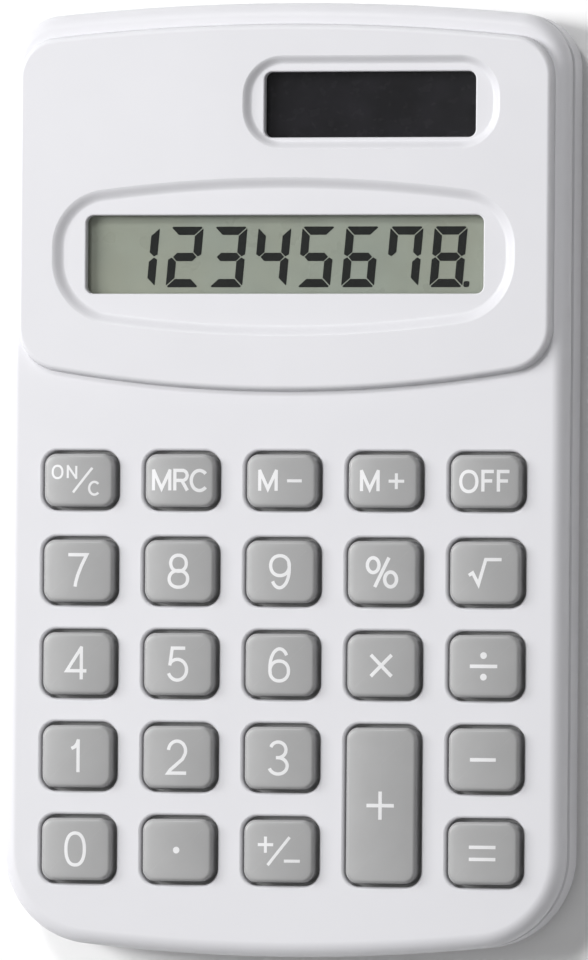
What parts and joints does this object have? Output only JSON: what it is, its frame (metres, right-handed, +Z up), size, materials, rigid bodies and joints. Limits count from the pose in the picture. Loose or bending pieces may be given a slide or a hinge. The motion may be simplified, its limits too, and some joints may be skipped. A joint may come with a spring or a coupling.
{
  "type": "pocket calculator",
  "caption": "Flat pocket calculator with a raised display panel, a digit window, a solar window and a block of separately sprung keys in a two-half moulded casing",
  "frame": {"origin": "centre of the footprint, on the flat rear face the calculator rests on", "axes": "+Z up through the key tops, +Y along the length towards the display, +X across the width to the reader's right"},
  "size_m": [0.068, 0.1119, 0.0109],
  "materials": {
    "casing_plastic": "off-white moulded plastic with a fine satin texture",
    "key_plastic": "mid-grey hard plastic, satin",
    "legend_ink": "white printed legend on the key tops",
    "segment_ink": "dark switched-on display segments",
    "window_clear": "clear polished plastic sheet",
    "window_smoked": "smoked polished plastic sheet",
    "display_glass": "grey-green reflective liquid-crystal cell",
    "reflector_film": "silver-green film",
    "holder_plastic": "plain white moulding",
    "contact_rubber": "black conductive rubber",
    "solar_dark": "near-black coated glass",
    "foam": "soft black foam",
    "wire_insulation": "thin smooth insulation",
    "board_laminate": "green lacquered laminate",
    "potting_resin": "black cured resin",
    "component_ceramic": "tan ceramic chip",
    "screw_steel": "plated steel",
    "mat_rubber": "translucent grey silicone",
    "cell_steel": "nickel-plated can",
    "contact_metal": "nickel-plated spring strip"
  },
  "bodies": {
    "casing": {"front_shell": "casing_plastic", "rear_shell": "casing_plastic", "battery_cover": "casing_plastic", "display_window": "window_clear", "solar_window": "window_smoked", "lcd_panel": "display_glass", "lcd_reflector": "reflector_film", "lcd_holder": "holder_plastic", "zebra_strip": "contact_rubber", "solar_cell": "solar_dark", "solar_foam_pad": "foam", "solar_wires": "wire_insulation", "battery_wires": "wire_insulation", "circuit_board": "board_laminate", "chip_blob": "potting_resin", "chip_capacitors": "component_ceramic", "board_screws": "screw_steel", "case_screws": "screw_steel", "battery_cover_screw": "screw_steel", "key_mat": "mat_rubber", "carbon_pills": "contact_rubber", "battery_cell": "cell_steel", "battery_contact_positive": "contact_metal", "battery_contact_negative": "contact_metal"},
    "key_on_clear_body": {"key_on_clear": "key_plastic"},
    "key_memory_recall_body": {"key_memory_recall": "key_plastic"},
    "key_memory_minus_body": {"key_memory_minus": "key_plastic"},
    "key_memory_plus_body": {"key_memory_plus": "key_plastic"},
    "key_off_body": {"key_off": "key_plastic"},
    "key_7_body": {"key_7": "key_plastic"},
    "key_8_body": {"key_8": "key_plastic"},
    "key_9_body": {"key_9": "key_plastic"},
    "key_percent_body": {"key_percent": "key_plastic"},
    "key_root_body": {"key_root": "key_plastic"},
    "key_4_body": {"key_4": "key_plastic"},
    "key_5_body": {"key_5": "key_plastic"},
    "key_6_body": {"key_6": "key_plastic"},
    "key_times_body": {"key_times": "key_plastic"},
    "key_divide_body": {"key_divide": "key_plastic"},
    "key_1_body": {"key_1": "key_plastic"},
    "key_2_body": {"key_2": "key_plastic"},
    "key_3_body": {"key_3": "key_plastic"},
    "key_minus_body": {"key_minus": "key_plastic"},
    "key_0_body": {"key_0": "key_plastic"},
    "key_point_body": {"key_point": "key_plastic"},
    "key_sign_body": {"key_sign": "key_plastic"},
    "key_equals_body": {"key_equals": "key_plastic"},
    "key_plus_body": {"key_plus": "key_plastic"}
  },
  "joints": [
    {"name": "key_on_clear_press", "type": "slide", "parent": "casing", "child": "key_on_clear_body", "axis": [0, 0, -1], "range_m": [0, 0.0008], "stiffness_N_per_m": 900, "springref_m": -0.0003, "deforming": ["key_mat", "carbon_pills"]},
    {"name": "key_memory_recall_press", "type": "slide", "parent": "casing", "child": "key_memory_recall_body", "axis": [0, 0, -1], "range_m": [0, 0.0008], "stiffness_N_per_m": 900, "springref_m": -0.0003, "deforming": ["key_mat", "carbon_pills"]},
    {"name": "key_memory_minus_press", "type": "slide", "parent": "casing", "child": "key_memory_minus_body", "axis": [0, 0, -1], "range_m": [0, 0.0008], "stiffness_N_per_m": 900, "springref_m": -0.0003, "deforming": ["key_mat", "carbon_pills"]},
    {"name": "key_memory_plus_press", "type": "slide", "parent": "casing", "child": "key_memory_plus_body", "axis": [0, 0, -1], "range_m": [0, 0.0008], "stiffness_N_per_m": 900, "springref_m": -0.0003, "deforming": ["key_mat", "carbon_pills"]},
    {"name": "key_off_press", "type": "slide", "parent": "casing", "child": "key_off_body", "axis": [0, 0, -1], "range_m": [0, 0.0008], "stiffness_N_per_m": 900, "springref_m": -0.0003, "deforming": ["key_mat", "carbon_pills"]},
    {"name": "key_7_press", "type": "slide", "parent": "casing", "child": "key_7_body", "axis": [0, 0, -1], "range_m": [0, 0.0008], "stiffness_N_per_m": 900, "springref_m": -0.0003, "deforming": ["key_mat", "carbon_pills"]},
    {"name": "key_8_press", "type": "slide", "parent": "casing", "child": "key_8_body", "axis": [0, 0, -1], "range_m": [0, 0.0008], "stiffness_N_per_m": 900, "springref_m": -0.0003, "deforming": ["key_mat", "carbon_pills"]},
    {"name": "key_9_press", "type": "slide", "parent": "casing", "child": "key_9_body", "axis": [0, 0, -1], "range_m": [0, 0.0008], "stiffness_N_per_m": 900, "springref_m": -0.0003, "deforming": ["key_mat", "carbon_pills"]},
    {"name": "key_percent_press", "type": "slide", "parent": "casing", "child": "key_percent_body", "axis": [0, 0, -1], "range_m": [0, 0.0008], "stiffness_N_per_m": 900, "springref_m": -0.0003, "deforming": ["key_mat", "carbon_pills"]},
    {"name": "key_root_press", "type": "slide", "parent": "casing", "child": "key_root_body", "axis": [0, 0, -1], "range_m": [0, 0.0008], "stiffness_N_per_m": 900, "springref_m": -0.0003, "deforming": ["key_mat", "carbon_pills"]},
    {"name": "key_4_press", "type": "slide", "parent": "casing", "child": "key_4_body", "axis": [0, 0, -1], "range_m": [0, 0.0008], "stiffness_N_per_m": 900, "springref_m": -0.0003, "deforming": ["key_mat", "carbon_pills"]},
    {"name": "key_5_press", "type": "slide", "parent": "casing", "child": "key_5_body", "axis": [0, 0, -1], "range_m": [0, 0.0008], "stiffness_N_per_m": 900, "springref_m": -0.0003, "deforming": ["key_mat", "carbon_pills"]},
    {"name": "key_6_press", "type": "slide", "parent": "casing", "child": "key_6_body", "axis": [0, 0, -1], "range_m": [0, 0.0008], "stiffness_N_per_m": 900, "springref_m": -0.0003, "deforming": ["key_mat", "carbon_pills"]},
    {"name": "key_times_press", "type": "slide", "parent": "casing", "child": "key_times_body", "axis": [0, 0, -1], "range_m": [0, 0.0008], "stiffness_N_per_m": 900, "springref_m": -0.0003, "deforming": ["key_mat", "carbon_pills"]},
    {"name": "key_divide_press", "type": "slide", "parent": "casing", "child": "key_divide_body", "axis": [0, 0, -1], "range_m": [0, 0.0008], "stiffness_N_per_m": 900, "springref_m": -0.0003, "deforming": ["key_mat", "carbon_pills"]},
    {"name": "key_1_press", "type": "slide", "parent": "casing", "child": "key_1_body", "axis": [0, 0, -1], "range_m": [0, 0.0008], "stiffness_N_per_m": 900, "springref_m": -0.0003, "deforming": ["key_mat", "carbon_pills"]},
    {"name": "key_2_press", "type": "slide", "parent": "casing", "child": "key_2_body", "axis": [0, 0, -1], "range_m": [0, 0.0008], "stiffness_N_per_m": 900, "springref_m": -0.0003, "deforming": ["key_mat", "carbon_pills"]},
    {"name": "key_3_press", "type": "slide", "parent": "casing", "child": "key_3_body", "axis": [0, 0, -1], "range_m": [0, 0.0008], "stiffness_N_per_m": 900, "springref_m": -0.0003, "deforming": ["key_mat", "carbon_pills"]},
    {"name": "key_minus_press", "type": "slide", "parent": "casing", "child": "key_minus_body", "axis": [0, 0, -1], "range_m": [0, 0.0008], "stiffness_N_per_m": 900, "springref_m": -0.0003, "deforming": ["key_mat", "carbon_pills"]},
    {"name": "key_0_press", "type": "slide", "parent": "casing", "child": "key_0_body", "axis": [0, 0, -1], "range_m": [0, 0.0008], "stiffness_N_per_m": 900, "springref_m": -0.0003, "deforming": ["key_mat", "carbon_pills"]},
    {"name": "key_point_press", "type": "slide", "parent": "casing", "child": "key_point_body", "axis": [0, 0, -1], "range_m": [0, 0.0008], "stiffness_N_per_m": 900, "springref_m": -0.0003, "deforming": ["key_mat", "carbon_pills"]},
    {"name": "key_sign_press", "type": "slide", "parent": "casing", "child": "key_sign_body", "axis": [0, 0, -1], "range_m": [0, 0.0008], "stiffness_N_per_m": 900, "springref_m": -0.0003, "deforming": ["key_mat", "carbon_pills"]},
    {"name": "key_equals_press", "type": "slide", "parent": "casing", "child": "key_equals_body", "axis": [0, 0, -1], "range_m": [0, 0.0008], "stiffness_N_per_m": 900, "springref_m": -0.0003, "deforming": ["key_mat", "carbon_pills"]},
    {"name": "key_plus_press", "type": "slide", "parent": "casing", "child": "key_plus_body", "axis": [0, 0, -1], "range_m": [0, 0.0008], "stiffness_N_per_m": 900, "springref_m": -0.0003, "deforming": ["key_mat", "carbon_pills"]}
  ]
}
